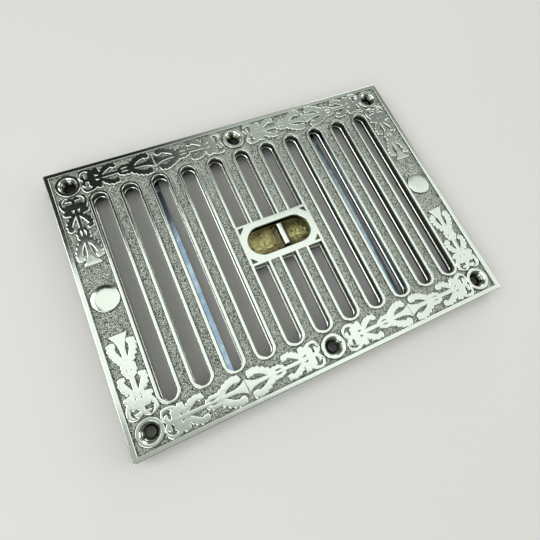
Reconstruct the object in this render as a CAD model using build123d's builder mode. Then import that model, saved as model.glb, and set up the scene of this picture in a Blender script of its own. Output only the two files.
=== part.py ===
from build123d import *
import os

os.makedirs("parts", exist_ok=True)

# Sliding ventilator grille in cast and plated brass, lying on its back.
# X runs along the long side, Y along the slots, Z out of the face.
# The origin is the middle of the back plane, where the flange meets the wall.

# Front casting
length = 228.6          # nine inches
width = 165.1           # six and a half inches
height = 11.0           # back of the flange to the polished face
flange_wall = 3.0       # return wall round the back
plate_depth = 4.6       # polished face to the back of the plate
relief = 1.1            # polished face above the sunken ground
rim_width = 2.9         # polished band round the edge
edge_round = 1.2
corner_round = 1.0

# Slots
slot_count = 11
slot_width = 8.9
slot_side_margin = 25.55    # edge of the plate to the outer slots' middle line
slot_end_margin = 20.55     # edge of the plate to the slots' ends
slot_rim = 1.8          # polished raised line round each slot

# Central plaque and its finger well
plaque_slots = 3        # slots that the plaque interrupts
plaque_width = 26.6
well_length = 39.9
well_width = 17.75
well_chamfer = 0.6
spandrel_leg = 3.4      # sunken corner triangles of the plaque
spandrel_inset = 1.9

# Screw bosses and blank discs, on the middle lines of the border
border_inset_x = 11.5   # edge of the plate to the side borders' middle line
border_inset_y = 10.75  # edge of the plate to the long borders' middle line
boss_diameter = 14.2
countersink_diameter = 10.5
countersink_angle = 90.0
screw_hole_diameter = 5.5
disc_diameter = 15.0

# Border ornament: one leaf and scroll unit, used twelve times
unit_length = 43.6
long_border_first = 7.9     # middle of the plate to the first unit's scroll
long_border_last = 6.9      # corner boss to the last unit's scroll
side_border_last = 7.6      # corner boss to the side unit's scroll
long_bell_half = 3.5        # half width of the trumpet's mouth, long borders
side_bell_half = 4.4
long_neck = 14.5            # mouth to the foot of the upper leaves
side_neck = 16.2
stem_half = 0.9
upper_leaf_reach = 12.8
lower_leaf_reach = 9.8
leaf_half_width = 6.4
leaf_foot_half = 2.6
lobe_bulge = 0.22           # how far each lobe of a leaf's edge bulges
tip_bulge = 0.35            # the same for its tip, the collar's ear and the scroll
bud_length = 7.5
bud_half_width = 3.4
scroll_length = 12.2        # foot of the lower leaves to the end of the scroll
scroll_half_width = 7.4
channel_width = 1.2         # channel that turns inside each scroll

# Shutter that slides behind the plate
shutter_gap = 0.2
shutter_thickness = 2.0
shutter_side_gap = 0.25     # each side, to the guide rails
shutter_end_gap = 0.3       # to the flange, which is the stop
shutter_lap = 0.45          # shutter shows this much inside each slot
shutter_corner = 3.0
rail_width = 1.6
shutter_land = 5.0          # slot end to the shutter's long edge

# Finger pull cast in the shutter
pull_position = 2.6         # ridge from the middle of the well, slots open
pull_thickness = 3.0
pull_length = 14.0
pull_below_face = 0.3
pull_waist = 1.2            # start of the flare, above the shutter's face
pull_flare = 3.4
pull_flare_radius = 6.0
pull_chamfer = 0.5
scoop_depth = 3.6
scoop_wall = 1.6
scoop_margin = 0.35         # scoop beyond the well, each side

# Retaining springs: two narrow bowed steel strips behind the shutter
spring_slot = 3             # slot that the spring runs behind, from the middle one
spring_offset = 1.85        # spring to that slot's middle line, away from the middle
spring_shift = 0.8          # both springs sit this much to the left
spring_width = 2.9
spring_thickness = 0.8
spring_bow = 1.5
spring_gap = 0.1
spring_tab = 6.5            # square end of the spring, and of the lug it lies on
lug_gap = 1.3               # guide rail to the lug
spring_hole = 2.7

# Spring screws
screw_shank = 2.5
screw_shank_length = 5.0
screw_clearance = 0.05
screw_end_gap = 0.6
screw_head = 4.8
screw_head_height = 1.3
screw_slot_width = 0.7
screw_slot_depth = 0.6

# Places worked out from the sizes above
ground_z = height - relief
plate_back_z = height - plate_depth
side_line_x = length / 2 - border_inset_x
long_line_y = width / 2 - border_inset_y
slot_pitch = (length - 2 * slot_side_margin) / (slot_count - 1)
slot_length = width - 2 * slot_end_margin
travel = slot_pitch / 2
plaque_length = (plaque_slots - 1) * slot_pitch + slot_width + 2 * slot_rim
shutter_top_z = plate_back_z - shutter_gap
shutter_back_z = shutter_top_z - shutter_thickness
shutter_width = slot_length + 2 * shutter_land
shutter_length = length - 2 * flange_wall - 2 * shutter_end_gap - travel
shutter_middle_x = travel / 2
shutter_slot_width = slot_width - 2 * shutter_lap
rail_y = shutter_width / 2 + shutter_side_gap + rail_width / 2
rail_length = length - 2 * flange_wall
slot_places = [(slot_pitch * (n - (slot_count - 1) / 2), 0) for n in range(slot_count)]
boss_places = [
    (x, y) for x in (-side_line_x, 0, side_line_x) for y in (-long_line_y, long_line_y)
]
disc_places = [(-side_line_x, 0), (side_line_x, 0)]
spandrel_x = plaque_length / 2 - spandrel_inset
spandrel_y = plaque_width / 2 - spandrel_inset
spandrel_places = [
    Location((-spandrel_x, -spandrel_y), 0),
    Location((spandrel_x, -spandrel_y), 90),
    Location((spandrel_x, spandrel_y), 180),
    Location((-spandrel_x, spandrel_y), 270),
]
spring_x = spring_slot * slot_pitch + spring_offset
spring_middles = {
    "retaining_spring_left": -spring_x - spring_shift,
    "retaining_spring_right": spring_x - spring_shift,
}
spring_screw_y = rail_y + rail_width / 2 + lug_gap + spring_tab / 2
lug_places = [(x, y) for x in spring_middles.values() for y in (-spring_screw_y, spring_screw_y)]
spring_top_z = shutter_back_z - spring_gap
spring_end_z = spring_top_z - spring_bow
fuse = 0.3              # raised forms start this far inside what carries them


def leaf(foot, reach, lobes):
    """Half outline of one acanthus leaf that rises from its foot to a blunt tip.

    foot is the distance from the trumpet's mouth to the foot of the leaf, and
    reach is the leaf's length. The outer edge has this many shallow lobes.
    """
    tip = foot - reach
    shoulder = tip + 1.4
    with BuildLine() as edge:
        Line((foot, 0), (foot, leaf_foot_half))
        last = (foot, leaf_foot_half)
        for n in range(1, lobes + 1):
            rise = (n / lobes) ** 0.5
            notch = (
                foot - (foot - shoulder) * n / lobes,
                leaf_foot_half + (leaf_half_width - leaf_foot_half) * rise,
            )
            SagittaArc(last, notch, -lobe_bulge)
            last = notch
        l1 = SagittaArc(last, (tip + 1.1, 0.5 * leaf_half_width), -tip_bulge)
        l2 = Line(l1 @ 1, (tip + 3.2, 0.66 * leaf_half_width))
        l3 = Line(l2 @ 1, (foot - 2.7, stem_half))
        l4 = Line(l3 @ 1, (foot - 2.7, 0))
        Line(l4 @ 1, (foot, 0))
    return edge.line


def ornament(neck, bell_half):
    """Leaf and scroll unit, lying along +X with the trumpet's mouth on the origin.

    neck is the distance from the mouth to the foot of the upper leaves, and
    bell_half is half the width of the mouth.
    """
    foot = unit_length - scroll_length
    bud_end = neck + bud_length
    with BuildSketch() as unit:
        # Trumpet, its stem and the stalk that runs down to the collar
        with BuildLine():
            l1 = Line((0, 0), (0, bell_half))
            l2 = SagittaArc(l1 @ 1, (neck - 2.7, stem_half), 0.5)
            l3 = Line(l2 @ 1, (foot + 2, stem_half))
            l4 = Line(l3 @ 1, (foot + 2, 0))
            Line(l4 @ 1, l1 @ 0)
        make_face()
        # Upper and lower leaves
        with BuildLine():
            add(leaf(neck, upper_leaf_reach, 3))
        make_face()
        with BuildLine():
            add(leaf(foot, lower_leaf_reach, 2))
        make_face()
        # Bud between the leaves
        with BuildLine():
            b1 = Line((neck, 0), (neck, leaf_foot_half))
            b2 = SagittaArc(b1 @ 1, (neck + 0.42 * bud_length, bud_half_width), -lobe_bulge)
            b3 = SagittaArc(b2 @ 1, (bud_end, stem_half), -lobe_bulge)
            b4 = Line(b3 @ 1, (bud_end, 0))
            Line(b4 @ 1, b1 @ 0)
        make_face()
        # Collar with its ears, and the double scroll
        with BuildLine():
            c1 = Line((foot, 0), (foot, leaf_foot_half))
            c2 = Line(c1 @ 1, (foot + 0.4, 5.7))
            c3 = SagittaArc(c2 @ 1, (foot + 3.5, 6.0), -tip_bulge)
            c4 = Line(c3 @ 1, (foot + 4.4, 5.2))
            c5 = SagittaArc(c4 @ 1, (foot + 8.0, scroll_half_width), -lobe_bulge)
            c6 = SagittaArc(c5 @ 1, (unit_length, 3.4), -tip_bulge)
            c7 = Line(c6 @ 1, (unit_length - 1.5, 0))
            Line(c7 @ 1, c1 @ 0)
        make_face()
        # Channel that turns inside each scroll
        with BuildLine():
            Polyline(
                (foot + 5.9, 1.1),
                (foot + 5.9, 4.6),
                (foot + 8.2, 5.6),
                (foot + 9.9, 3.9),
                (foot + 8.4, 3.9),
                (foot + 5.9 + channel_width, 3.6),
                (foot + 5.9 + channel_width, 1.1),
                close=True,
            )
        make_face(mode=Mode.SUBTRACT)
        mirror(about=Plane.XZ)
    return unit.sketch


long_unit = ornament(long_neck, long_bell_half)
side_unit = ornament(side_neck, side_bell_half)
inner_mouth = long_border_first + unit_length
outer_mouth = side_line_x - long_border_last - unit_length
side_mouth = long_line_y - side_border_last - unit_length

# Front casting
with BuildPart() as front_grille:
    # Tray: plate, polished edge and return flange
    with BuildSketch():
        RectangleRounded(length, width, corner_round)
    extrude(amount=height)
    fillet(front_grille.faces().sort_by(Axis.Z)[-1].edges(), edge_round)
    with BuildSketch():
        RectangleRounded(length - 2 * flange_wall, width - 2 * flange_wall, corner_round)
    extrude(amount=plate_back_z, mode=Mode.SUBTRACT)
    # Sunken ground inside the polished edge
    with BuildSketch(Plane.XY.offset(ground_z)):
        Rectangle(length - 2 * rim_width, width - 2 * rim_width)
    extrude(amount=relief, mode=Mode.SUBTRACT)
    # Raised lines, plaque, bosses and discs, all finished level with the edge
    with BuildSketch(Plane.XY.offset(ground_z - fuse)):
        with Locations(slot_places):
            SlotOverall(
                slot_length + 2 * slot_rim, slot_width + 2 * slot_rim, rotation=90
            )
        Rectangle(plaque_length, plaque_width)
        with Locations(boss_places):
            Circle(boss_diameter / 2)
        with Locations(disc_places):
            Circle(disc_diameter / 2)
    extrude(amount=relief + fuse)
    # Border ornament
    with BuildSketch(Plane.XY.offset(ground_z - fuse)):
        for side in (-1, 1):
            for end in (-1, 1):
                row = side * long_line_y
                inner = Location((end * inner_mouth, row), 180 if end > 0 else 0)
                outer = Location((end * outer_mouth, row), 0 if end > 0 else 180)
                upright = Location((side * side_line_x, end * side_mouth), 90 * end)
                add(inner * long_unit)
                add(outer * long_unit)
                add(upright * side_unit)
    extrude(amount=relief + fuse)
    # Sunken corners of the plaque
    with BuildSketch(Plane.XY.offset(height)):
        with Locations(*spandrel_places):
            Polygon((0, 0), (spandrel_leg, 0), (0, spandrel_leg), align=None)
    extrude(amount=-relief, mode=Mode.SUBTRACT)
    # Slots, cut right through; the plaque stops the middle ones
    with BuildSketch(Plane.XY.offset(height)):
        with Locations(slot_places):
            SlotOverall(slot_length, slot_width, rotation=90)
        Rectangle(plaque_length, plaque_width, mode=Mode.SUBTRACT)
    extrude(amount=-plate_depth, mode=Mode.SUBTRACT)
    # Finger well
    with BuildSketch(Plane.XY.offset(height)):
        SlotOverall(well_length, well_width)
    extrude(amount=-plate_depth, mode=Mode.SUBTRACT)
    chamfer(front_grille.edges(Select.LAST).group_by(Axis.Z)[-1], well_chamfer)
    # Countersunk holes for the wall screws
    with Locations(Plane.XY.offset(height)):
        with Locations(boss_places):
            CounterSinkHole(
                screw_hole_diameter / 2,
                countersink_diameter / 2,
                depth=plate_depth,
                counter_sink_angle=countersink_angle,
            )
    # Guide rails for the shutter and lugs for its springs
    with BuildSketch(Plane.XY.offset(shutter_back_z)):
        with Locations((0, -rail_y), (0, rail_y)):
            Rectangle(rail_length, rail_width)
    extrude(amount=plate_back_z - shutter_back_z)
    with BuildSketch(Plane.XY.offset(spring_end_z)):
        with Locations(lug_places):
            Rectangle(spring_tab, spring_tab)
    extrude(amount=plate_back_z - spring_end_z)
    with Locations(Plane.XY.offset(spring_end_z).rotated((180, 0, 0))):
        with Locations(lug_places):
            Hole(screw_shank / 2 + screw_clearance, depth=screw_shank_length + screw_end_gap)
front_grille.part.label = "front_grille"
export_step(front_grille.part, "parts/front_grille.step")

# Hollow of the finger pull: a trough with round ends, as a turned form on its side
scoop_half_width = well_width / 2 + scoop_margin
scoop_radius = (scoop_half_width**2 + scoop_depth**2) / (2 * scoop_depth)
scoop_run = well_length + travel - well_width
scoop_axis_z = shutter_top_z - scoop_depth + scoop_radius


def trough(radius, lid_z):
    """Round-ended trough of this radius, cut off flat at the height lid_z."""
    with BuildPart() as body:
        with BuildSketch(Plane.XZ):
            with Locations((shutter_middle_x, scoop_axis_z)):
                SlotCenterToCenter(scoop_run, 2 * radius)
                Rectangle(2 * scoop_axis_z + length, radius, align=(Align.CENTER, Align.MIN),
                          mode=Mode.SUBTRACT)
        revolve(axis=Axis((0, 0, scoop_axis_z), (1, 0, 0)), revolution_arc=360)
        split(bisect_by=Plane.XY.offset(lid_z), keep=Keep.BOTTOM)
    return body.part


def finger_pull():
    """Upright bar that flares into the bottom of the hollow, trimmed to its wall."""
    top_z = height - pull_below_face
    foot_z = shutter_top_z - scoop_depth - scoop_wall
    waist_z = shutter_top_z + pull_waist
    face_x = pull_position + pull_thickness / 2
    with BuildPart() as bar:
        with BuildSketch(Plane.XZ):
            with BuildLine():
                f1 = Line((pull_position, foot_z), (pull_position, top_z))
                f2 = Line(f1 @ 1, (face_x, top_z))
                f3 = Line(f2 @ 1, (face_x, waist_z))
                f4 = RadiusArc(f3 @ 1, (face_x + pull_flare, foot_z), pull_flare_radius)
                Line(f4 @ 1, f1 @ 0)
            make_face()
            mirror(about=Plane.YZ.offset(pull_position))
        extrude(amount=pull_length / 2, both=True)
        chamfer(bar.faces().sort_by(Axis.Z)[-1].edges(), pull_chamfer)
        add(trough(scoop_radius + scoop_wall / 2, top_z), mode=Mode.INTERSECT)
    return bar.part


# Shutter with its finger pull
with BuildPart() as shutter:
    with BuildSketch(Plane.XY.offset(shutter_back_z)):
        with Locations((shutter_middle_x, 0)):
            RectangleRounded(shutter_length, shutter_width, shutter_corner)
        with Locations(slot_places):
            SlotOverall(slot_length, shutter_slot_width, rotation=90, mode=Mode.SUBTRACT)
        Rectangle(plaque_length - 2 * slot_rim, plaque_width + 2 * shutter_lap)
    extrude(amount=shutter_thickness)
    add(trough(scoop_radius + scoop_wall, shutter_top_z))
    add(trough(scoop_radius, shutter_top_z), mode=Mode.SUBTRACT)
    add(finger_pull())
shutter.part.label = "shutter"
export_step(shutter.part, "parts/shutter.step")

# Two retaining springs: a bowed strip with a square tab at each end
bow_y = spring_screw_y - spring_tab / 2
spring_foot_z = spring_end_z - spring_thickness
for name, middle_x in spring_middles.items():
    with BuildPart() as spring:
        with BuildSketch(Plane.YZ.offset(middle_x)):
            with BuildLine():
                t1 = ThreePointArc((-bow_y, spring_end_z), (0, spring_top_z), (bow_y, spring_end_z))
                t2 = Line(t1 @ 1, (bow_y, spring_foot_z))
                t3 = ThreePointArc(
                    t2 @ 1, (0, spring_top_z - spring_thickness), (-bow_y, spring_foot_z)
                )
                Line(t3 @ 1, t1 @ 0)
            make_face()
        extrude(amount=spring_width / 2, both=True)
        with BuildSketch(Plane.XY.offset(spring_foot_z)):
            with Locations((middle_x, -spring_screw_y), (middle_x, spring_screw_y)):
                Rectangle(spring_tab, spring_tab)
                Circle(spring_hole / 2, mode=Mode.SUBTRACT)
        extrude(amount=spring_thickness)
    spring.part.label = name
    export_step(spring.part, f"parts/{name}.step")

# Four screws that hold the springs
for number, (x, y) in enumerate(lug_places, start=1):
    with BuildPart() as screw:
        with BuildSketch(Plane.XY.offset(spring_foot_z - screw_head_height)):
            with Locations((x, y)):
                Circle(screw_head / 2)
        extrude(amount=screw_head_height)
        with BuildSketch(Plane.XY.offset(spring_foot_z)):
            with Locations((x, y)):
                Circle(screw_shank / 2)
        extrude(amount=screw_shank_length)
        with BuildSketch(Plane.XY.offset(spring_foot_z - screw_head_height)):
            with Locations((x, y)):
                Rectangle(screw_head, screw_slot_width)
        extrude(amount=screw_slot_depth, mode=Mode.SUBTRACT)
    screw.part.label = f"spring_screw_{number}"
    export_step(screw.part, f"parts/spring_screw_{number}.step")
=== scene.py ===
"""Looks of a sliding ventilator grille in cast, nickel-plated brass.

The grille lies on its back: X runs along the long side, Y along the slots and
Z out of the polished face. All sizes here are in millimetres, and the meshes
are written in metres.
"""

import logging
import math
from collections.abc import Sequence
from dataclasses import dataclass, field
from enum import Enum

import bmesh
import bpy
from bmesh.types import BMesh
from bpy.types import Material, Object
from mathutils import Matrix, Vector


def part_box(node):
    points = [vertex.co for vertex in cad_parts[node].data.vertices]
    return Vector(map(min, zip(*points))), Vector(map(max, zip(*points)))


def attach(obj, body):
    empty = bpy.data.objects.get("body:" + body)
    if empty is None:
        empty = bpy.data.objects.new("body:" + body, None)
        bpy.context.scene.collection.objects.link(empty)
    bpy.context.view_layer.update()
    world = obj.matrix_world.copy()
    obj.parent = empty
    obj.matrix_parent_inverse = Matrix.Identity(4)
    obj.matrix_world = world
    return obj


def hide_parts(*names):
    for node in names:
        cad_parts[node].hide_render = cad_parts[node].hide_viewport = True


LOG = logging.getLogger("grille")
MM = 0.001

# Degrees above which an edge counts as sharp, and degrees from point to point of an arc
SHARP = 35
ARC_STEP = 14
# Metres within which points of a turned form, and of a frame node, are one
TURNED_WELD = 1e-7
NODE_WELD = 2e-6
# Steps of a slot's round end, and of the quarter round at a raised form's top
END_STEPS = 18
SHOULDER_STEPS = 4

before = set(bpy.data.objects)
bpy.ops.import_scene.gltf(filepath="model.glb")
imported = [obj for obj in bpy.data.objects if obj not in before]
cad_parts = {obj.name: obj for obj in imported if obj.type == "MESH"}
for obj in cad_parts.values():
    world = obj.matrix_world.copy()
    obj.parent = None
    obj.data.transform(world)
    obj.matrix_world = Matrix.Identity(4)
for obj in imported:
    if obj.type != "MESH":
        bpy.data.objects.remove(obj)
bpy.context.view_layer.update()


class Body(str, Enum):
    """Rigid bodies of the grille."""

    GRILLE = "grille"
    SHUTTER = "shutter"


class Slot(str, Enum):
    """Material slots of the record."""

    FRONT = "front_plating"
    SHUTTER = "shutter_brass"
    SPRING = "spring_steel"
    SCREW = "screw_steel"


def node_size(name: str) -> tuple[Vector, Vector]:
    """Box of a frame node.

    Args:
        name: The node's name.

    Returns:
        Its lowest and highest corner, in millimetres.
    """
    low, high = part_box(name)
    return low / MM, high / MM


# Shader maths


class Value:
    """A socket that takes part in sums, so that an expression adds its Math nodes."""

    def __init__(self, shader: "Shader", socket: bpy.types.NodeSocket) -> None:
        """Keep the shader that owns the socket."""
        self.shader = shader
        self.socket = socket

    def _math(self, operation: str, *others: "Value | float") -> "Value":
        """Add a Math node on this value and the others."""
        inputs = {n: v for n, v in enumerate((self, *others))}
        return self.shader.node("ShaderNodeMath", {"operation": operation}, inputs)

    def __add__(self, other: "Value | float") -> "Value":
        """Sum."""
        return self._math("ADD", other)

    __radd__ = __add__

    def __sub__(self, other: "Value | float") -> "Value":
        """Difference."""
        return self._math("SUBTRACT", other)

    def __rsub__(self, other: float) -> "Value":
        """Difference from a number."""
        return self.shader.number(other) - self

    def __mul__(self, other: "Value | float") -> "Value":
        """Product."""
        return self._math("MULTIPLY", other)

    __rmul__ = __mul__

    def __abs__(self) -> "Value":
        """Magnitude."""
        return self._math("ABSOLUTE")

    def clamp(self) -> "Value":
        """Limit to the range from 0 to 1."""
        return self.shader.node("ShaderNodeClamp", {}, {"Value": self})

    def step(self, low: float, high: float) -> "Value":
        """Smooth step from 0 at low to 1 at high."""
        return self.shader.node(
            "ShaderNodeMapRange",
            {"interpolation_type": "SMOOTHSTEP", "clamp": True},
            {"Value": self, "From Min": low, "From Max": high},
        )

    def band(self, rise: Sequence[float], fall: Sequence[float]) -> "Value":
        """Smooth band that goes up to 1 over the rise and back to 0 over the fall."""
        return self.step(*rise) * (1 - self.step(*fall))


class Shader:
    """Builds one material's nodes."""

    def __init__(self, name: str) -> None:
        """Start a material with a bare Principled shader.

        Args:
            name: The material's name.
        """
        self.material = bpy.data.materials.new(name)
        self.material.use_nodes = True
        self.tree = self.material.node_tree
        self.tree.nodes.clear()
        self.surface = self.tree.nodes.new("ShaderNodeBsdfPrincipled")
        output = self.tree.nodes.new("ShaderNodeOutputMaterial")
        self.tree.links.new(self.surface.outputs[0], output.inputs[0])
        self.place = self.node("ShaderNodeTexCoord", {}, {}, "Object")

    def node(
        self,
        kind: str,
        settings: dict[str, object],
        inputs: dict[int | str, object],
        output: int | str = 0,
    ) -> Value:
        """Add a node.

        Args:
            kind: The node's type.
            settings: Attributes, which are set before the sockets.
            inputs: Values or links of its sockets.
            output: The socket that the caller goes on with.

        Returns:
            That output.
        """
        made = self.tree.nodes.new(kind)
        for key, setting in settings.items():
            setattr(made, key, setting)
        for key, value in inputs.items():
            self.connect(made.inputs[key], value)
        return Value(self, made.outputs[output])

    def connect(self, socket: bpy.types.NodeSocket, value: object) -> None:
        """Link a socket to a value, or set it to a number or a colour.

        Args:
            socket: The socket.
            value: What it gets.
        """
        if isinstance(value, Value):
            self.tree.links.new(value.socket, socket)
        else:
            socket.default_value = value

    def number(self, amount: float) -> Value:
        """A constant as a socket."""
        return self.node("ShaderNodeMath", {"operation": "ADD"}, {0: amount, 1: 0.0})

    def axis(self, name: str) -> Value:
        """One coordinate of the object's space, in millimetres."""
        split = self.node("ShaderNodeSeparateXYZ", {}, {0: self.place}, name)
        return split * (1 / MM)

    def noise(self, size: float, detail: float = 2.0, stretch: Sequence[float] = (1, 1, 1)) -> Value:
        """Cloudy noise.

        Args:
            size: Size of one blot, in millimetres.
            detail: Octaves of the noise.
            stretch: How much longer the blots are along each axis.

        Returns:
            A value about 0.5.
        """
        scale = [1 / (size * MM * s) for s in stretch]
        spot = self.node("ShaderNodeMapping", {}, {"Vector": self.place, "Scale": scale})
        return self.node(
            "ShaderNodeTexNoise", {}, {"Vector": spot, "Scale": 1.0, "Detail": detail}
        )

    def grains(self, size: float) -> Value:
        """Distance to the middle of the nearest grain, from 0 to about 1.

        Args:
            size: Size of one grain, in millimetres.

        Returns:
            The distance as a share of a grain.
        """
        return self.node(
            "ShaderNodeTexVoronoi",
            {"feature": "SMOOTH_F1"},
            {"Vector": self.place, "Scale": 1 / (size * MM), "Smoothness": 0.4},
        )

    def mix(self, share: "Value | float", first: object, second: object) -> Value:
        """Blend two colours.

        Args:
            share: How much of the second shows.
            first: A colour or a link.
            second: A colour or a link.

        Returns:
            The blended colour.
        """
        return self.node(
            "ShaderNodeMix",
            {"data_type": "RGBA"},
            {0: share, 6: first, 7: second},
            2,
        )

    def bump(self, height: Value, depth: float, below: Value | None = None) -> Value:
        """Bump from a height.

        Args:
            height: Height from 0 to 1.
            depth: Depth of the whole range, in millimetres.
            below: Bump that this one lies on.

        Returns:
            The bent normal.
        """
        inputs: dict[int | str, object] = {
            "Strength": 1.0,
            "Distance": depth * MM,
            "Height": height,
        }
        if below is not None:
            inputs["Normal"] = below
        return self.node("ShaderNodeBump", {}, inputs)

    def feed(self, **sockets: object) -> None:
        """Set or link the Principled shader's sockets.

        Args:
            sockets: Values or links by socket name, with _ for a space.
        """
        for key, value in sockets.items():
            self.connect(self.surface.inputs[key.replace("_", " ")], value)


def rgb(red: float, green: float, blue: float) -> tuple[float, float, float, float]:
    """A colour with full alpha."""
    return (red, green, blue, 1.0)


@dataclass(frozen=True)
class NickelFinish:
    """Nickel plate: polished where it stands at the face, stippled on the sunken ground; painted shade
    on low flanks, feet and walls below.
    """

    polish: tuple = rgb(0.77, 0.83, 0.76)
    ground: tuple = rgb(0.66, 0.69, 0.62)
    clouded: tuple = rgb(0.62, 0.64, 0.56)
    # Patina in the stipple's pits, and also the painted shade on low flanks, feet and walls below the
    # ground
    tarnish_and_shade: tuple = rgb(0.05, 0.055, 0.032)
    polish_rough: float = 0.13
    ground_rough: float = 0.42
    grain_size: float = 0.62
    grain_depth: float = 0.6
    fine_size: float = 0.35
    cloud_size: float = 14.0
    smear_size: float = 2.2
    wave_size: float = 5.5
    wave_depth: float = 0.035
    scratch_size: float = 0.5
    scratch_depth: float = 0.002
    # Share of the ground's colour at the foot of the raised forms
    foot_ground_share: float = 0.55
    pit_stain: float = 0.85
    # Shares of painted shade on the low flanks and on the walls below the ground
    flank_shade_share: float = 0.9
    inside_shade_share: float = 0.96
    ground_end: tuple = (0.02, 0.07)
    foot_shade: tuple = (0.1, 0.85)
    flank_end: tuple = (0.3, 0.5)

    def build(self, name: str, face_z: float, ground_z: float) -> Material:
        """Make the material.

        Args:
            name: The material's name.
            face_z: Height of the polished face, in millimetres.
            ground_z: Height of the sunken ground.

        Returns:
            The material.
        """
        shader = Shader(name)
        height = shader.axis("Z")
        relief = face_z - ground_z
        rise = [ground_z + part for part in self.ground_end]
        face_side = height.step(ground_z - 0.1, ground_z - 0.02)
        sunken = (1 - height.step(*rise)) * face_side
        shade = [ground_z + part * relief for part in self.foot_shade]
        foot = (1 - height.step(*shade)) * face_side
        # Painted shade: low on the raised forms' flanks and feet, and on every wall below the ground,
        # such as the slot walls and the underside
        flank = height.band(rise, [ground_z + part * relief for part in self.flank_end])
        inside = 1 - height.step(ground_z - 0.5, ground_z - 0.05)

        grain = shader.grains(self.grain_size)
        fine = shader.noise(self.fine_size, 3.0)
        pits = (grain + (fine - 0.5) * 0.8).step(0.38, 0.70) * sunken
        cloud = shader.noise(self.cloud_size, 3.0)
        smear = shader.noise(self.smear_size, 4.0)

        # Darker and rougher towards the foot of each raised form, part way to the ground's colour and
        # roughness
        metal = shader.mix(foot * self.foot_ground_share, self.polish, self.ground)
        metal = shader.mix(pits * self.pit_stain, metal, self.tarnish_and_shade)
        metal = shader.mix(((cloud - 0.45) * 0.5).clamp(), metal, self.clouded)
        # Painted shade on the low flanks and below the ground
        metal = shader.mix(flank * self.flank_shade_share, metal, self.tarnish_and_shade)
        metal = shader.mix(inside * self.inside_shade_share, metal, self.tarnish_and_shade)
        rough = self.polish_rough + (smear - 0.5) * 0.08
        rough = rough + foot * (self.ground_rough - self.polish_rough)

        texture = shader.bump((1 - grain + (fine - 0.5) * 0.5) * sunken, self.grain_depth)
        waves = shader.bump(shader.noise(self.wave_size), self.wave_depth, texture)
        brushed = shader.noise(self.scratch_size, 3.0, (1, 9, 1))
        scratches = shader.bump(brushed, self.scratch_depth, waves)
        shader.feed(Base_Color=metal, Metallic=1.0, Roughness=rough.clamp(), Normal=scratches)
        return shader.material


@dataclass(frozen=True)
class HollowBrassFinish:
    """Shutter plate: dull nickel, bare rough brass in the hollow, polish on the pull; painted shadow in
    the hollow, painted shade on the walls and a painted highlight on the upper edge.
    """

    nickel: tuple = rgb(0.66, 0.68, 0.62)
    brass: tuple = rgb(0.66, 0.60, 0.27)
    # Dark colour for stains in the brass and for the painted shadow in the hollow
    soot_and_shade: tuple = rgb(0.05, 0.045, 0.02)
    shade: tuple = rgb(0.05, 0.055, 0.04)
    # Polish of the pull's top, also used as the painted highlight on the chamfered upper edge
    polish: tuple = rgb(0.84, 0.86, 0.80)
    middle_x: float = 4.4
    half_length: float = 24.0
    pull_x: float = 2.6
    roughness: float = 0.28
    # How much painted shadow darkens the brass beside the pull and towards the far side
    pull_shadow_share: float = 0.8
    far_shadow_share: float = 0.75
    stain_size: float = 3.2
    lump_size: float = 2.4
    lump_depth: float = 1.1
    speck_size: float = 0.7
    speck_depth: float = 0.03

    def build(self, name: str, top_z: float, pull_z: float, half_width: float) -> Material:
        """Make the material.

        Args:
            name: The material's name.
            top_z: Height of the shutter's flat face, in millimetres.
            pull_z: Height of the finger pull's top.
            half_width: Half width of the hollow.

        Returns:
            The material.
        """
        shader = Shader(name)
        height = shader.axis("Z")
        across = abs(shader.axis("Y"))
        along = abs(shader.axis("X") - self.middle_x)
        inside = 1 - across.step(half_width - 0.6, half_width + 0.2)
        inside = inside * (1 - along.step(self.half_length, self.half_length + 0.6))
        sunk = (1 - height.step(top_z - 0.35, top_z - 0.1)) * inside
        stalk = height.band((top_z - 0.3, top_z), (pull_z - 0.7, pull_z - 0.3))
        bare = (sunk + stalk * inside).clamp()
        crown = height.step(pull_z - 0.7, pull_z - 0.25)
        stain = shader.noise(self.stain_size, 4.0)
        speck = shader.noise(self.speck_size, 3.0)

        # Painted shadow: the pull and the far wall keep light off the hollow, so the brass beside the
        # pull and towards the far side is darkened
        beside = abs(shader.axis("X") - self.pull_x)
        shadow = (1 - beside.step(3.0, 8.5)) * inside
        far_side_shadow = shader.axis("Y").step(-1.0, 7.0) * inside
        # Painted shade on the walls below the chamfer, and a painted highlight on the chamfer itself,
        # kept off where the painted shadow lies
        edge = (top_z - 0.32, top_z - 0.29)
        flank = 1 - height.step(*edge)
        arris = height.band(edge, (top_z - 0.02, top_z - 0.005)) * (1 - shadow)

        brass = shader.mix((stain + (speck - 0.5) * 0.5).step(0.5, 0.8), self.brass, self.soot_and_shade)
        brass = shader.mix(shadow * self.pull_shadow_share, brass, self.soot_and_shade)
        brass = shader.mix(far_side_shadow * self.far_shadow_share, brass, self.soot_and_shade)
        metal = shader.mix(flank, self.nickel, self.shade)
        metal = shader.mix(bare, metal, brass)
        metal = shader.mix(arris, metal, self.polish)
        metal = shader.mix(crown, metal, self.polish)
        rough = self.roughness - arris * 0.08 + bare * 0.08 - crown * 0.14 + (speck - 0.5) * 0.1
        lumps = shader.bump(shader.noise(self.lump_size, 5.0) * bare, self.lump_depth)
        fine = shader.bump(speck, self.speck_depth, lumps)
        shader.feed(Base_Color=metal, Metallic=1.0, Roughness=rough.clamp(), Normal=fine)
        return shader.material


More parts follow.
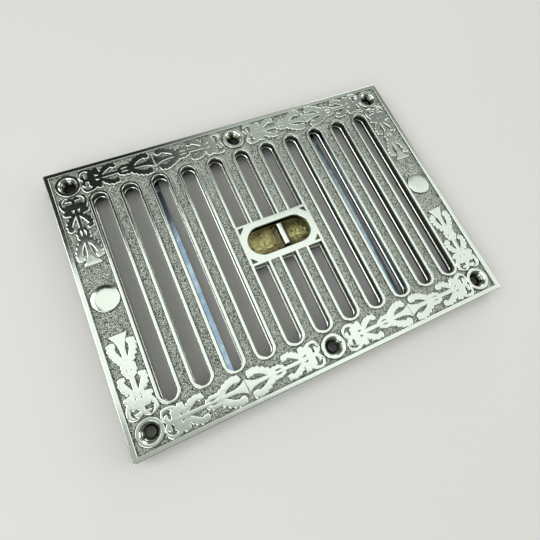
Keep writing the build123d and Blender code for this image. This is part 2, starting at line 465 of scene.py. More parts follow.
@dataclass(frozen=True)
class SteelFinish:
    """Steel with a light brushed grain, plain or tempered blue."""

    colour: tuple
    tint: tuple
    roughness: float = 0.3
    cloud_size: float = 6.0
    brush_size: float = 0.4
    brush_depth: float = 0.01

    def build(self, name: str) -> Material:
        """Make the material.

        Args:
            name: The material's name.

        Returns:
            The material.
        """
        shader = Shader(name)
        cloud = shader.noise(self.cloud_size, 3.0)
        brushed = shader.noise(self.brush_size, 2.0, (1, 14, 1))
        metal = shader.mix(cloud.step(0.35, 0.65), self.colour, self.tint)
        rough = self.roughness + (brushed - 0.5) * 0.12
        fine = shader.bump(brushed, self.brush_depth)
        shader.feed(Base_Color=metal, Metallic=1.0, Roughness=rough.clamp(), Normal=fine)
        return shader.material


# Outlines and meshes


class Outline:
    """A closed flat outline drawn from lines and arcs, walked with the outside on the left."""

    def __init__(self, x: float, y: float) -> None:
        """Start at a point."""
        self.points = [(x, y)]

    def line(self, x: float, y: float) -> "Outline":
        """Straight on to a point."""
        self.points.append((x, y))
        return self

    def arc(self, x: float, y: float, bulge: float) -> "Outline":
        """Arc to a point.

        Args:
            x: End of the arc.
            y: End of the arc.
            bulge: How far the arc stands out to the left of its chord.

        Returns:
            The outline.
        """
        x0, y0 = self.points[-1]
        chord = math.hypot(x - x0, y - y0)
        turn = 4 * math.atan(2 * abs(bulge) / chord)
        radius = chord / 2 / math.sin(turn / 2)
        side = 1 if bulge > 0 else -1
        nx, ny = -(y - y0) / chord * side, (x - x0) / chord * side
        middle = radius * math.cos(turn / 2)
        cx, cy = (x + x0) / 2 - nx * middle, (y + y0) / 2 - ny * middle
        start = math.atan2(y0 - cy, x0 - cx)
        count = max(3, round(math.degrees(turn) / ARC_STEP))
        for n in range(1, count + 1):
            angle = start - side * turn * n / count
            self.points.append((cx + radius * math.cos(angle), cy + radius * math.sin(angle)))
        return self

    def draw(self, *steps: Sequence[float]) -> "Outline":
        """Draw in turn a line to each (x, y) and an arc to each (x, y, bulge).

        Args:
            steps: Ends of the lines and arcs.

        Returns:
            The outline.
        """
        for step in steps:
            pen = self.arc if len(step) == 3 else self.line
            pen(*step)
        return self

    def mirrored(self) -> list[tuple[float, float]]:
        """The outline closed by its mirror image in the X axis."""
        return self.points + [(x, -y) for x, y in reversed(self.points) if y > 1e-6]


def slot_outline(x: float, y0: float, y1: float, width: float, flat: str = "") -> list:
    """Upright slot with round ends.

    Args:
        x: Middle of the slot.
        y0: Lower end.
        y1: Upper end.
        width: Width of the slot.
        flat: "top" or "bottom" where that end is square.

    Returns:
        Its points, anticlockwise.
    """
    r = width / 2
    points = []
    for centre, begin, square in ((y1 - r, 0, flat == "top"), (y0 + r, 180, flat == "bottom")):
        if square:
            edge = y1 if begin == 0 else y0
            side = 1 if begin == 0 else -1
            points += [(x + side * r, edge), (x - side * r, edge)]
            continue
        for n in range(END_STEPS + 1):
            angle = math.radians(begin + 180 * n / END_STEPS)
            points.append((x + r * math.cos(angle), centre + r * math.sin(angle)))
    return points


def circle_outline(x: float, y: float, radius: float, steps: int = 48) -> list:
    """Points of a circle, anticlockwise."""
    turns = [2 * math.pi * n / steps for n in range(steps)]
    return [(x + radius * math.cos(t), y + radius * math.sin(t)) for t in turns]


def add_object(name: str, data: bpy.types.ID) -> Object:
    """Put an object in the scene.

    Args:
        name: Its name.
        data: Its mesh, curve, light or camera.

    Returns:
        The object.
    """
    made = bpy.data.objects.new(name, data)
    bpy.context.scene.collection.objects.link(made)
    return made


def to_mesh(name: str, form: BMesh) -> bpy.types.Mesh:
    """Turn a bmesh into mesh data and free it.

    Args:
        name: The mesh's name.
        form: The bmesh.

    Returns:
        The mesh.
    """
    mesh = bpy.data.meshes.new(name)
    form.to_mesh(mesh)
    form.free()
    return mesh


def raised_form(
    outlines: Sequence,
    bottom: float,
    top: float,
    shoulder: float,
    grow: float = 0.0,
    squat: float = 1.0,
) -> BMesh:
    """Fill flat outlines and give them height and a rounded shoulder.

    Args:
        outlines: The outer outline and any holes.
        bottom: Height of the underside, in millimetres.
        top: Height of the top.
        shoulder: Radius of the shoulder.
        grow: How far the form stands outside its outlines.
        squat: Height of the shoulder as a share of its width.

    Returns:
        A mesh in metres.
    """
    curve = bpy.data.curves.new("outline", "CURVE")
    curve.dimensions = "2D"
    curve.fill_mode = "BOTH"
    for points in outlines:
        spline = curve.splines.new("POLY")
        spline.points.add(len(points) - 1)
        spline.use_cyclic_u = True
        for point, (x, y) in zip(spline.points, points):
            point.co = (x, y, 0, 1)
    curve.extrude = (top - bottom) / 2 - shoulder
    curve.bevel_depth = shoulder
    curve.bevel_resolution = SHOULDER_STEPS - 1 if shoulder else 0
    curve.offset = grow - shoulder
    holder = add_object("outline", curve)
    bpy.context.view_layer.update()
    depsgraph = bpy.context.evaluated_depsgraph_get()
    mesh = bpy.data.meshes.new_from_object(holder.evaluated_get(depsgraph))
    form = bmesh.new()
    form.from_mesh(mesh)
    # The curve is in millimetres, so that its fill keeps small details
    weld = 0.001
    bmesh.ops.remove_doubles(form, verts=form.verts, dist=weld)
    bmesh.ops.recalc_face_normals(form, faces=form.faces)
    bmesh.ops.translate(form, verts=form.verts, vec=(0, 0, (top + bottom) / 2))
    round_part = [v for v in form.verts if v.co.z > top - shoulder - weld]
    lift = Matrix.Translation((0, 0, -top))
    bmesh.ops.scale(form, verts=round_part, vec=(1, 1, squat), space=lift)
    bmesh.ops.scale(form, verts=form.verts, vec=(MM, MM, MM))
    bpy.data.meshes.remove(mesh)
    bpy.data.objects.remove(holder)
    bpy.data.curves.remove(curve)
    return form


def shoulder_profile(side: float, top: float, radius: float, squat: float = 1.0) -> list:
    """Quarter round from a flat top down to its flank.

    Args:
        side: Place of the flank.
        top: Height of the flat top.
        radius: Radius of the round.
        squat: Height of the round as a share of its width.

    Returns:
        Points of place and height.
    """
    points = []
    for n in range(SHOULDER_STEPS + 1):
        angle = math.radians(90 * n / SHOULDER_STEPS)
        drop = radius * (1 - math.cos(angle)) * squat
        points.append((side - radius * (1 - math.sin(angle)), top - drop))
    return points


def turned_form(profile: Sequence, x: float, y: float, steps: int = 56) -> BMesh:
    """Spin a closed profile about an upright axis.

    Args:
        profile: Points of radius and height, in millimetres.
        x: The axis.
        y: The axis.
        steps: Steps of the spin.

    Returns:
        A mesh in metres.
    """
    form = bmesh.new()
    ring = [form.verts.new((r * MM, 0, z * MM)) for r, z in profile]
    edges = [form.edges.new((a, b)) for a, b in zip(ring, ring[1:] + ring[:1])]
    bmesh.ops.spin(
        form,
        geom=ring + edges,
        cent=(0, 0, 0),
        axis=(0, 0, 1),
        angle=2 * math.pi,
        steps=steps,
        use_merge=True,
    )
    bmesh.ops.remove_doubles(form, verts=form.verts, dist=TURNED_WELD)
    bmesh.ops.recalc_face_normals(form, faces=form.faces)
    bmesh.ops.translate(form, verts=form.verts, vec=(x * MM, y * MM, 0))
    return form


def sharp_edges(form: BMesh) -> list:
    """Edges of a mesh whose two faces meet at a sharp angle."""
    limit = math.radians(SHARP)
    return [e for e in form.edges if e.is_manifold and e.calc_face_angle() > limit]


def bevel(
    form: BMesh, edges: Sequence, width: float, segments: int = 2, clamp: bool = False
) -> None:
    """Round or chamfer edges.

    Args:
        form: The mesh, in metres.
        edges: The edges.
        width: Width of the bevel, in millimetres.
        segments: Faces across it.
        clamp: Whether it narrows where two bevels would meet.
    """
    bmesh.ops.bevel(
        form,
        geom=edges,
        offset=width * MM,
        segments=segments,
        profile=0.5,
        affect="EDGES",
        clamp_overlap=clamp,
        material=-1,
    )


def block(low: Sequence, high: Sequence, round_by: float) -> BMesh:
    """Box between two corners with rounded edges.

    Args:
        low: Lowest corner, in millimetres.
        high: Highest corner.
        round_by: Radius of the edges.

    Returns:
        A mesh in metres.
    """
    form = bmesh.new()
    size = [(b - a) * MM for a, b in zip(low, high)]
    middle = [(b + a) / 2 * MM for a, b in zip(low, high)]
    bmesh.ops.create_cube(form, size=1.0)
    bmesh.ops.scale(form, verts=form.verts, vec=size)
    bmesh.ops.translate(form, verts=form.verts, vec=middle)
    bevel(form, form.edges, round_by)
    return form


def join(forms: Sequence[BMesh]) -> BMesh:
    """Put several meshes in one and free them.

    Args:
        forms: The meshes.

    Returns:
        One mesh with all their faces.
    """
    whole = bmesh.new()
    for form in forms:
        mesh = to_mesh("part", form)
        whole.from_mesh(mesh)
        bpy.data.meshes.remove(mesh)
    return whole


def make_piece(
    name: str,
    form: BMesh,
    material: Material,
    body: Body,
    nodes: Sequence[str],
    smooth_angle: float = 38.0,
) -> Object:
    """Turn a mesh into a piece that rides on a body.

    Args:
        name: The piece's name.
        form: Its mesh, in metres.
        material: Its finish.
        body: The body that it rides on.
        nodes: Frame nodes that it stands for.
        smooth_angle: Edges sharper than this stay sharp, in degrees.

    Returns:
        The piece.
    """
    mesh = to_mesh(name, form)
    for polygon in mesh.polygons:
        polygon.use_smooth = True
    mesh.set_sharp_from_angle(angle=math.radians(smooth_angle))
    mesh.materials.append(material)
    piece = add_object(name, mesh)
    level = piece.modifiers.new("level_normals", "WEIGHTED_NORMAL")
    level.weight = 100
    level.keep_sharp = True
    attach(piece, body.value)
    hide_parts(*nodes)
    LOG.info("%s: %d faces on %s", name, len(mesh.polygons), body.value)
    return piece


def node_copy(name: str) -> BMesh:
    """Copy of a frame node's mesh with its loose triangles joined.

    Args:
        name: The node's name.

    Returns:
        A mesh in metres, with flat regions as single faces.
    """
    form = bmesh.new()
    form.from_mesh(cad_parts[name].data)
    bmesh.ops.remove_doubles(form, verts=form.verts, dist=NODE_WELD)
    bmesh.ops.dissolve_limit(
        form, angle_limit=math.radians(1.0), verts=form.verts, edges=form.edges
    )
    return form


# The grille's own parts


@dataclass
class FrontCasting:
    """Face of the grille: plate, polished edge, raised lines, bosses and ornament."""

    rim_width: float = 2.9
    edge_round: float = 0.7
    edge_steps: int = 6
    corner_round: float = 1.0
    flange_wall: float = 3.0
    plate_depth: float = 4.6
    plate_inset: float = 2.0
    relief: float = 1.1
    # How far the raised forms reach below the ground
    root: float = 0.8
    edge_root: float = 0.5
    turned_root: float = 0.6
    foot_root: float = 1.2
    # How far tops lie below the face, so that no two coincide
    line_drop: float = 0.02
    boss_drop: float = 0.008
    disc_drop: float = 0.004
    shoulder: float = 0.42
    foot_spread: float = 0.45
    foot_height: float = 0.14
    disc_dome: float = 0.24
    disc_squat: float = 0.6
    dome_steps: int = 12
    slot_count: int = 11
    slot_width: float = 8.9
    slot_side_margin: float = 25.55
    slot_end_margin: float = 20.55
    slot_rim: float = 1.8
    plaque_slots: int = 3
    plaque_width: float = 26.6
    plaque_lap: float = 0.8
    well_length: float = 39.9
    well_width: float = 17.75
    spandrel_leg: float = 3.4
    spandrel_inset: float = 1.9
    border_inset_x: float = 11.5
    border_inset_y: float = 10.75
    boss_radius: float = 7.1
    boss_wall: float = 0.7
    boss_seat: float = 0.6
    countersink_radius: float = 5.25
    hole_radius: float = 2.75
    disc_radius: float = 7.5
    rail_inner: float = 67.25
    rail_width: float = 1.6
    rail_height: float = 2.2
    lug_size: float = 6.5
    lug_lap: float = 0.8
    back_round: float = 0.2
    back_sunk: float = 0.5
    finish: NickelFinish = field(default_factory=NickelFinish)

    def __post_init__(self) -> None:
        """Read the overall size from the frame and work out the places."""
        high = node_size("front_grille")[1]
        self.half_x, self.half_y, self.face_z = high.x, high.y, high.z
        self.ground_z = self.face_z - self.relief
        self.back_z = self.face_z - self.plate_depth
        self.side_line = self.half_x - self.border_inset_x
        self.long_line = self.half_y - self.border_inset_y
        self.pitch = 2 * (self.half_x - self.slot_side_margin) / (self.slot_count - 1)
        self.slot_half = self.half_y - self.slot_end_margin
        self.plaque_half = self.pitch + self.slot_width / 2 + self.slot_rim
        self.boss_places = [
            (x, y)
            for x in (-self.side_line, 0, self.side_line)
            for y in (-self.long_line, self.long_line)
        ]
        middle = (self.slot_count - 1) / 2
        self.slot_places = [self.pitch * (n - middle) for n in range(self.slot_count)]

    def is_interrupted(self, x: float) -> bool:
        """Whether the plaque stops the slot at this place."""
        return abs(x) < self.plaque_slots * self.pitch / 2

    def slot_holes(self, grow: float) -> list:
        """Outlines of all the slots.

        Args:
            grow: How much wider each side is than the slot.

        Returns:
            The outlines.
        """
        holes = []
        end, stop = self.slot_half + grow, self.plaque_width / 2 - grow
        width = self.slot_width + 2 * grow
        for x in self.slot_places:
            if self.is_interrupted(x):
                holes.append(slot_outline(x, stop, end, width, "bottom"))
                holes.append(slot_outline(x, -end, -stop, width, "top"))
            else:
                holes.append(slot_outline(x, -end, end, width))
        return holes

    def well(self, grow: float = 0.0) -> list:
        """Outline of the finger well.

        Args:
            grow: How much wider each side is than the well.

        Returns:
            The outline.
        """
        half = self.well_length / 2 + grow
        upright = slot_outline(0, -half, half, self.well_width + 2 * grow)
        return [(-y, x) for x, y in upright]

    def plate(self) -> BMesh:
        """The sunken plate with its slots, well and screw holes.

        Returns:
            Its mesh.
        """
        x, y = self.half_x - self.plate_inset, self.half_y - self.plate_inset
        behind_lines = 0.03
        outlines = [[(-x, -y), (x, -y), (x, y), (-x, y)]]
        outlines += self.slot_holes(behind_lines)
        outlines.append(self.well(behind_lines))
        hole = self.boss_radius - self.boss_seat
        outlines += [circle_outline(bx, by, hole) for bx, by in self.boss_places]
        return raised_form(outlines, self.back_z, self.ground_z, 0.0)

    def edge(self) -> BMesh:
        """Polished edge and return flange, as one profile carried round the rectangle.

        Returns:
            Its mesh.
        """
        radius, inner = self.edge_round, self.rim_width
        profile = [(0.0, 0.0), (0.0, self.face_z - radius)]
        for n in range(1, self.edge_steps + 1):
            angle = math.radians(90 * n / self.edge_steps)
            drop = radius * (1 - math.sin(angle))
            profile.append((radius * (1 - math.cos(angle)), self.face_z - drop))
        profile += shoulder_profile(inner, self.face_z, self.shoulder)
        profile += [
            (inner, self.ground_z - self.edge_root),
            (self.flange_wall, self.ground_z - self.edge_root),
            (self.flange_wall, 0.0),
        ]
        form = bmesh.new()
        loops = [self.edge_loop(form, inset, z) for inset, z in profile]
        for first, second in zip(loops, loops[1:] + loops[:1]):
            ahead = zip(first, first[1:] + first[:1], second[1:] + second[:1], second)
            for corners in ahead:
                form.faces.new(corners)
        bmesh.ops.recalc_face_normals(form, faces=form.faces)
        return form

    def edge_loop(self, form: BMesh, inset: float, z: float) -> list:
        """Rounded rectangle of points inside the plate's outline.

        Args:
            form: The mesh that gets the loop.
            inset: Distance inside the outline.
            z: Height of the loop.

        Returns:
            Its points in order.
        """
        radius = max(self.corner_round - inset, 0.05)
        verts = []
        for quarter, (sx, sy) in enumerate(((1, 1), (-1, 1), (-1, -1), (1, -1))):
            cx = sx * (self.half_x - inset - radius)
            cy = sy * (self.half_y - inset - radius)
            for n in range(self.edge_steps + 1):
                angle = math.radians(90 * quarter + 90 * n / self.edge_steps)
                place = (cx + radius * math.cos(angle), cy + radius * math.sin(angle), z)
                verts.append(form.verts.new(Vector(place) * MM))
        return verts

    def slot_lines(self) -> list[BMesh]:
        """Raised polished line round each slot, with a low foot that the finish darkens as painted
        shade.

        Returns:
            Their meshes.
        """
        rings = []
        end, rim = self.slot_half, self.slot_rim
        gap = self.foot_spread + 0.05
        for x in self.slot_places:
            outer = slot_outline(x, -end - rim, end + rim, self.slot_width + 2 * rim)
            inner = slot_outline(x, -end, end, self.slot_width)
            clear = slot_outline(x, -end - gap, end + gap, self.slot_width + 2 * gap)
            top = self.face_z - self.line_drop
            line = raised_form([outer, inner], self.ground_z - self.root, top, self.shoulder)
            rings.append(self.clear_of_plaque(join([line, self.foot([outer, clear])]), x))
        return rings

    def foot(self, outlines: Sequence) -> BMesh:
        """Low foot round a raised form, darkened by the finish as painted shade.

        Args:
            outlines: The form's outlines.

        Returns:
            A mesh in metres.
        """
        top, spread = self.ground_z + self.foot_height, self.foot_spread
        return raised_form(outlines, self.ground_z - self.foot_root, top, spread, spread)

    def clear_of_plaque(self, ring: BMesh, x: float) -> BMesh:
        """Cut a slot's line away inside the plaque, where the plaque stops that slot.

        Args:
            ring: The line's mesh.
            x: Middle of the slot.

        Returns:
            The rest of the line.
        """
        if not self.is_interrupted(x):
            return ring
        stop = (self.plaque_width / 2 - self.plaque_lap) * MM
        halves = []
        for side in (-1, 1):
            half = ring.copy()
            bmesh.ops.bisect_plane(
                half,
                geom=[*half.verts, *half.edges, *half.faces],
                plane_co=(0, side * stop, 0),
                plane_no=(0, -side, 0),
                clear_outer=True,
            )
            halves.append(half)
        ring.free()
        return join(halves)

    def plaque(self) -> BMesh:
        """Central plaque with its well and sunken corners, whose low pads the finish darkens as painted
        shade.

        Returns:
            Its mesh.
        """
        x, y = self.plaque_half, self.plaque_width / 2
        outlines = [[(-x, -y), (x, -y), (x, y), (-x, y)], self.well()]
        cx, cy, leg = x - self.spandrel_inset, y - self.spandrel_inset, self.spandrel_leg
        corners = [
            [(sx * cx, sy * cy), (sx * (cx - leg), sy * cy), (sx * cx, sy * (cy - leg))]
            for sx in (-1, 1)
            for sy in (-1, 1)
        ]
        pads = [self.foot([corner]) for corner in corners]
        bottom = self.ground_z - self.root
        face = raised_form(outlines + corners, bottom, self.face_z, self.shoulder)
        return join([face, *pads])

    def boss(self, x: float, y: float) -> BMesh:
        """Raised ring with a countersunk screw hole.

        Args:
            x: Middle of the hole.
            y: Middle of the hole.

        Returns:
            Its mesh.
        """
        top = self.face_z - self.boss_drop
        outer, mouth, hole = self.boss_radius, self.countersink_radius, self.hole_radius
        lip, lip_out = 0.12, 0.1
        profile = [(hole, self.back_z), (hole, top - (mouth - hole))]
        profile += [(mouth - lip, top - lip), (mouth + lip_out, top)]
        profile += shoulder_profile(outer, top, self.shoulder)
        profile += self.turned_foot(outer)
        wall = outer - self.boss_wall
        profile += [(wall, self.ground_z - self.turned_root), (wall, self.back_z)]
        return turned_form(profile, x, y)

    def turned_foot(self, radius: float) -> list:
        """Low foot round a turned form, darkened by the finish as painted shade.

        Args:
            radius: The form's radius.

        Returns:
            Points of the foot's profile.
        """
        top = self.ground_z + self.foot_height
        out = radius + self.foot_spread
        chamfer = 0.1
        points = [(radius, top), (out - chamfer, top), (out, top - chamfer)]
        return [*points, (out, self.ground_z - self.turned_root)]

    def disc(self, x: float) -> BMesh:
        """Plain raised disc with a low dome, in the middle of a side border.

        Args:
            x: Middle of the disc.

        Returns:
            Its mesh.
        """
        top, radius, pole = self.face_z - self.disc_drop, self.disc_radius, 0.01
        flat = radius - self.shoulder
        profile = []
        for n in range(self.dome_steps + 1):
            share = n / self.dome_steps
            profile.append((pole + (flat - pole) * share, top - self.disc_dome * share**5))
        profile += shoulder_profile(radius, top - self.disc_dome, self.shoulder, self.disc_squat)[1:]
        profile += self.turned_foot(radius)
        profile.append((pole, self.ground_z - self.turned_root))
        return turned_form(profile, x, 0.0, steps=72)

    def back(self) -> list[BMesh]:
        """Guide rails and spring lugs behind the plate.

        Returns:
            Their meshes.
        """
        low, high = node_size("retaining_spring_right")
        round_by, half = self.back_round, self.lug_size / 2
        end_x = self.half_x - self.flange_wall + round_by
        rail_z, lug_z = self.back_z - self.rail_height, low.z + self.lug_lap
        top = self.back_z + self.back_sunk
        forms = []
        for side in (-1, 1):
            rail = sorted((side * self.rail_inner, side * (self.rail_inner + self.rail_width)))
            forms.append(block((-end_x, rail[0], rail_z), (end_x, rail[1], top), round_by))
            y = side * (high.y - half)
            for end in (-1, 1):
                x = end * (low.x + high.x) / 2
                corners = (x - half, y - half, lug_z), (x + half, y + half, top)
                forms.append(block(*corners, round_by))
        return forms

    def build(self) -> Object:
        """Make the casting's piece.

        Returns:
            The piece.
        """
        forms = [self.plate(), self.edge(), self.plaque(), *self.slot_lines()]
        forms += [self.boss(x, y) for x, y in self.boss_places]
        forms += [self.disc(-self.side_line), self.disc(self.side_line)]
        forms += self.back()
        material = self.finish.build("nickel_plate", self.face_z, self.ground_z)
        return make_piece(
            "front_casting", join(forms), material, Body.GRILLE, ["front_grille"]
        )


@dataclass(frozen=True)
class UnitSizes:
    """Sizes in which the units of the long borders and of the side borders differ.

    The neck is the way from the trumpet's mouth to the foot of the upper leaves, the
    bell half is half the mouth's width, and the spread is how wide the upper leaves are.
    """

    neck: float
    bell_half: float
    spread: float


@dataclass
class BorderOrnament:
    """Twelve leaf and scroll units cast on the border."""

    casting: FrontCasting
    long_unit: UnitSizes = UnitSizes(14.5, 3.6, 1.09)
    side_unit: UnitSizes = UnitSizes(16.2, 4.6, 1.0)
    unit_length: float = 43.6
    long_border_first: float = 7.9
    long_border_last: float = 6.9
    side_border_last: float = 7.6
    stem_half: float = 0.95
    foot: float = 31.2
    shoulder: float = 0.62
    grow: float = 0.3
    squat: float = 0.55
    drop: float = 0.012

    def trumpet(self, sizes: UnitSizes) -> Outline:
        """Start at the corner of the trumpet's mouth and draw its flank, down to the stem."""
        path = Outline(0, sizes.bell_half).arc(sizes.neck - 8.6, 1.3, -0.42)
        return path.line(sizes.neck - 2.7, self.stem_half)

    def leaf(self, path: Outline, inner: Sequence, lobes: Sequence, foot: float, spread: float) -> None:
        """Draw a leaf: its inner edge, the knob at its tip and its lobed outer edge.

        Args:
            path: The outline so far.
            inner: Points and bulges of the inner edge and the knob.
            lobes: Notches between the lobes of the outer edge.
            foot: Place that the points are measured back from.
            spread: How much wider than usual the leaf is.
        """
        for back, y, bulge in inner:
            path.arc(foot - back, y * spread, bulge)
        for back, y in lobes:
            path.arc(foot - back, y * spread, 0.8)

    def half_unit(self, sizes: UnitSizes) -> Outline:
        """Half outline of a unit, from the trumpet's mouth to the end of the scroll.

        Args:
            sizes: The unit's own sizes.

        Returns:
            The outline.
        """
        foot, neck = self.foot, sizes.neck
        path = self.trumpet(sizes)
        upper_edge = ((9.4, 3.8, -0.5), (12.3, 3.4, 0.6), (12.5, 5.9, 0.55))
        upper_lobes = ((10.4, 6.7), (7.8, 6.6), (5.3, 5.7), (2.8, 4.4), (0.3, 2.7))
        self.leaf(path, upper_edge, upper_lobes, neck, sizes.spread)
        for along, y in ((2.4, 3.3), (5.0, 2.9), (7.3, 1.0)):
            path.arc(neck + along, y, 0.65)
        path.line(foot - 0.5, 1.05)
        lower_edge = ((6.4, 4.5, -0.1), (8.9, 3.6, 0.5), (9.2, 6.0, 0.5))
        lower_lobes = ((6.9, 6.8), (4.3, 6.6), (1.8, 5.4), (0.3, 3.6))
        self.leaf(path, lower_edge, lower_lobes, foot, 1.0)
        collar = (foot + 0.5, 3.5), (foot + 0.8, 5.9), (foot + 3.7, 6.5, 1.0), (foot + 4.1, 6.0)
        scroll = (foot + 8.4, 7.7, 0.45), (self.unit_length, 4.8, 1.15)
        end = (self.unit_length - 0.4, 1.7, 0.45), (self.unit_length - 1.6, 0)
        return path.draw(*collar, *scroll, *end)

    def slits(self, neck: float) -> list:
        """Sunken slits of the bud, the collar and the scrolls.

        Args:
            neck: Distance from the mouth to the foot of the upper leaves.

        Returns:
            Their outlines.
        """
        foot = self.foot
        bud = Outline(neck + 1.3, 1.15).arc(neck + 5.3, 0.9, 0.45).arc(neck + 1.3, 1.15, 0.3)
        collar = Outline(foot + 1.3, 1.45).line(foot + 3.7, 2.3).line(foot + 3.6, 0.8)
        curl = Outline(foot + 6.7, 5.2)
        curl.draw((foot + 11.2, 5.0, 0.95), (foot + 12.0, 2.7, 0.3), (foot + 11.3, 2.7))
        curl.draw((foot + 9.7, 4.1, -0.5), (foot + 9.5, 1.2), (foot + 8.0, 1.2))
        curl.arc(foot + 7.9, 4.3, 0.15)
        shapes = (bud.points[:-1], collar.points, curl.points)
        return [[(x, side * y) for x, y in shape] for side in (-1, 1) for shape in shapes]

    def unit(self, sizes: UnitSizes, x: float, y: float, degrees: float) -> BMesh:
        """One placed unit.

        Args:
            sizes: The unit's own sizes.
            x: Place of the mouth.
            y: Place of the mouth.
            degrees: Turn of the unit.

        Returns:
            Its mesh.
        """
        outlines = [self.half_unit(sizes).mirrored(), *self.slits(sizes.neck)]
        bottom = self.casting.ground_z - self.casting.foot_root
        top = self.casting.face_z - self.drop
        form = raised_form(outlines, bottom, top, self.shoulder, self.grow, self.squat)
        unit = join([form, self.casting.foot(outlines)])
        turn = Matrix.Rotation(math.radians(degrees), 3, "Z")
        bmesh.ops.rotate(unit, verts=unit.verts, cent=(0, 0, 0), matrix=turn)
        bmesh.ops.translate(unit, verts=unit.verts, vec=(x * MM, y * MM, 0))
        return unit

    def build(self, material: Material) -> Object:
        """Make the ornament's piece.

        Args:
            material: The casting's finish.

        Returns:
            The piece.
        """
        casting = self.casting
        inner = self.long_border_first + self.unit_length
        outer = casting.side_line - self.long_border_last - self.unit_length
        side_mouth = casting.long_line - self.side_border_last - self.unit_length
        forms = []
        for side in (-1, 1):
            for end in (-1, 1):
                row, column = side * casting.long_line, side * casting.side_line
                inward, outward = (180, 0) if end > 0 else (0, 180)
                forms.append(self.unit(self.long_unit, end * inner, row, inward))
                forms.append(self.unit(self.long_unit, end * outer, row, outward))
                forms.append(self.unit(self.side_unit, column, end * side_mouth, 90 * end))
        return make_piece(
            "border_ornament", join(forms), material, Body.GRILLE, ["front_grille"]
        )


@dataclass
class Shutter:
    """Slotted plate that slides behind the face, with its hollow and finger pull."""

    arris_width: float = 0.42
    arris_drop: float = 0.28
    well_half_width: float = 9.2
    plate_top: float = 6.2
    finish: HollowBrassFinish = field(default_factory=HollowBrassFinish)

    def build(self) -> Object:
        """Make the shutter's piece from the frame's own solid, with its upper edges chamfered.

        Returns:
            The piece.
        """
        form = node_copy("shutter")
        edges = [
            e for e in sharp_edges(form) if all(self.is_at(v, self.plate_top) for v in e.verts)
        ]
        bevel(form, edges, self.arris_width, 1)
        foot = [v for v in form.verts if self.is_at(v, self.plate_top - self.arris_width)]
        rise = (self.arris_width - self.arris_drop) * MM
        bmesh.ops.translate(form, verts=foot, vec=(0, 0, rise))
        LOG.info("shutter arris: %d edges, %d points raised", len(edges), len(foot))
        pull_z = node_size("shutter")[1].z
        material = self.finish.build("shutter_plate", self.plate_top, pull_z, self.well_half_width)
        return make_piece("shutter_plate", form, material, Body.SHUTTER, ["shutter"])

    @staticmethod
    def is_at(vert: bmesh.types.BMVert, height: float) -> bool:
        """Whether a point lies at a height in millimetres, to a hundredth."""
        return abs(vert.co.z - height * MM) < 0.01 * MM


@dataclass
class Springs:
    """Two blued retaining springs and the four screws that hold them."""

    blue: SteelFinish = SteelFinish(rgb(0.25, 0.36, 0.48), rgb(0.42, 0.52, 0.62), 0.15)
    steel: SteelFinish = SteelFinish(rgb(0.55, 0.55, 0.53), rgb(0.42, 0.42, 0.40), 0.32)
    strip_round: float = 0.1
    screw_round: float = 0.12

    def piece(
        self, name: str, node: str, round_by: float, material: Material, slot: Slot
    ) -> None:
        """Make a piece from a frame node, with its sharp edges rounded.

        Args:
            name: The piece's name.
            node: The node.
            round_by: Width of the rounding, in millimetres.
            material: The piece's finish.
            slot: The record's slot for its finish; not used.
        """
        form = node_copy(node)
        bevel(form, sharp_edges(form), round_by, clamp=True)
        make_piece(name, form, material, Body.GRILLE, [node])

    def build(self) -> None:
        """Make the springs and the screws."""
        blue = self.blue.build("blued_steel")
        steel = self.steel.build("plain_steel")
        for side in ("left", "right"):
            node = f"retaining_spring_{side}"
            self.piece(f"spring_{side}", node, self.strip_round, blue, Slot.SPRING)
        for number in range(1, 5):
            node = f"spring_screw_{number}"
            self.piece(f"screw_{number}", node, self.screw_round, steel, Slot.SCREW)


# Studio


@dataclass(frozen=True)
class Softbox:
    """Square soft light that faces the grille."""

    name: str
    place: tuple
    size: float
    radiance: float

    def build(self) -> None:
        """Add the light."""
        lamp = bpy.data.lights.new(self.name, "AREA")
        lamp.shape = "SQUARE"
        lamp.size = self.size * MM
        lamp.energy = self.radiance * math.pi * lamp.size**2
        box = add_object(self.name, lamp)
        box.location = Vector(self.place) * MM
        box.rotation_euler = box.location.to_track_quat("Z", "Y").to_euler()


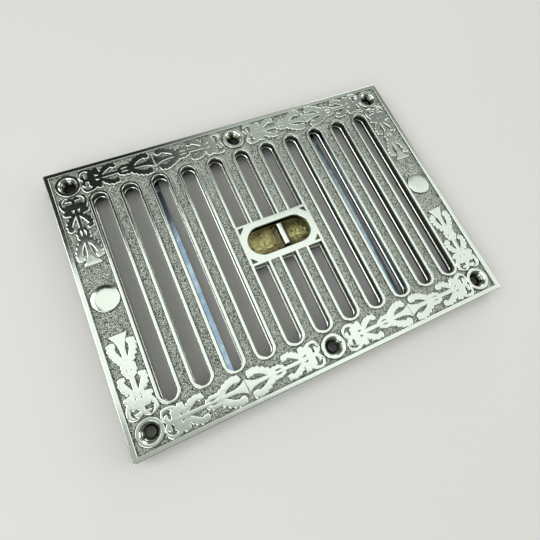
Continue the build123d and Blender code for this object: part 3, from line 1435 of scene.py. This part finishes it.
@dataclass(frozen=True)
class GlowPanel:
    """Glowing panel overhead, which the polished faces mirror.

    A pair of places says where on the panel a change of its light begins and ends.
    """

    low: tuple = (-430.0, -500.0)
    high: tuple = (1500.0, 1250.0)
    height: float = 1000.0
    level: float = 1.18
    tint: tuple = rgb(0.97, 1.0, 0.96)
    faint: float = 0.006
    slant: float = 0.33
    fade_up: tuple = (230, 690)
    fade_right: tuple = (50, 420)
    faded: float = 0.62
    far_right: tuple = (430, 760)
    far_loss: float = 0.17
    dark_above: tuple = (505, 565)
    dark_glow: float = 0.40
    dark_fade: tuple = (-40, 420)
    corner: tuple = (-320, -180)
    corner_rise: float = 70
    low_corner: tuple = (-160, -80)
    low_glow: float = 0.4

    def glow(self, shader: Shader) -> Value:
        """Grade the light: bright low down, dimmer at the right, dark above and at one corner.

        Args:
            shader: The panel's shader.

        Returns:
            The light's share of the full level.
        """
        x, y = shader.axis("X"), shader.axis("Y")
        fade = y.step(*self.fade_up) * x.step(*self.fade_right) * self.faded
        bright = 1.0 - fade - x.step(*self.far_right) * self.far_loss
        beyond = x.step(*self.dark_fade) * self.dark_glow + self.faint
        corner = 1 - x.step(*self.corner)
        above = (y - x * self.slant - corner * self.corner_rise).step(*self.dark_above)
        rise = (y + x * self.slant).step(*self.low_corner)
        lower_left = rise * (1 - self.low_glow) + self.low_glow
        return (bright * (1 - above) + beyond * above) * lower_left + self.faint

    def build(self) -> None:
        """Add the panel."""
        form = bmesh.new()
        (x0, y0), (x1, y1), z = self.low, self.high, self.height
        corners = [(x0, y0, z), (x0, y1, z), (x1, y1, z), (x1, y0, z)]
        form.faces.new([form.verts.new(Vector(corner) * MM) for corner in corners])
        shader = Shader("panel_glow")
        black = rgb(0.0, 0.0, 0.0)
        shader.feed(
            Base_Color=black,
            Roughness=1.0,
            Specular_IOR_Level=0.0,
            Emission_Color=shader.mix(self.glow(shader), black, self.tint),
            Emission_Strength=self.level,
        )
        mesh = to_mesh("panel", form)
        mesh.materials.append(shader.material)
        panel = add_object("panel", mesh)


@dataclass
class Studio:
    """Pale floor, glowing panel, four softboxes, dim surroundings and the camera."""

    focal_px: float = 366.35
    frame_px: float = 540.0
    sensor_width: float = 36.0
    camera_place: tuple = (-65.2, -68.8, 209.0)
    camera_right: tuple = (0.9039, -0.4090, 0.1267)
    camera_back: tuple = (-0.2400, -0.2390, 0.9410)
    panel: GlowPanel = GlowPanel()
    softboxes: tuple = (
        Softbox("key", (-1300.0, -1100.0, 1200.0), 1300.0, 3.2),
        Softbox("fill", (1700.0, -500.0, 700.0), 1100.0, 2.0),
        Softbox("rear", (1300.0, 1500.0, 560.0), 1000.0, 2.5),
        Softbox("side", (-1050.0, 400.0, 1050.0), 1000.0, 2.6),
    )
    ambient: tuple = rgb(0.18, 0.19, 0.18)
    floor_colour: tuple = rgb(0.78, 0.77, 0.75)

    def build(self) -> None:
        """Make the floor, lights and camera."""
        self.floor()
        self.lights()
        self.camera()
        bpy.context.scene.view_settings.view_transform = "Standard"

    def floor(self) -> None:
        """Plain pale floor under the grille."""
        form = bmesh.new()
        bmesh.ops.create_grid(form, x_segments=1, y_segments=1, size=4.0)
        shader = Shader("floor_paint")
        shader.feed(Base_Color=self.floor_colour, Roughness=0.7)
        mesh = to_mesh("floor", form)
        mesh.materials.append(shader.material)
        floor = add_object("floor", mesh)

    def lights(self) -> None:
        """Graded panel overhead, softboxes round the grille and a dim world."""
        self.panel.build()
        for softbox in self.softboxes:
            softbox.build()
        world = bpy.data.worlds.new("studio")
        world.use_nodes = True
        background = world.node_tree.nodes["Background"]
        background.inputs["Color"].default_value = self.ambient
        bpy.context.scene.world = world

    def camera(self) -> None:
        """Camera at the photograph's place and lens."""
        data = bpy.data.cameras.new("camera")
        data.sensor_width = self.sensor_width
        data.lens = self.focal_px / self.frame_px * data.sensor_width
        data.clip_start = 0.01
        right = Vector(self.camera_right).normalized()
        back = Vector(self.camera_back).normalized()
        up = back.cross(right)
        turn = Matrix((right, up, back)).transposed()
        camera = add_object("camera", data)
        camera.matrix_world = Matrix.Translation(Vector(self.camera_place) * MM) @ turn.to_4x4()
        bpy.context.scene.camera = camera


def main() -> None:
    """Build every piece and the studio."""
    logging.basicConfig(level=logging.INFO)
    casting = FrontCasting()
    face = casting.build()
    BorderOrnament(casting).build(face.data.materials[0])
    Shutter().build()
    Springs().build()
    Studio().build()


if __name__ == "__main__":
    main()
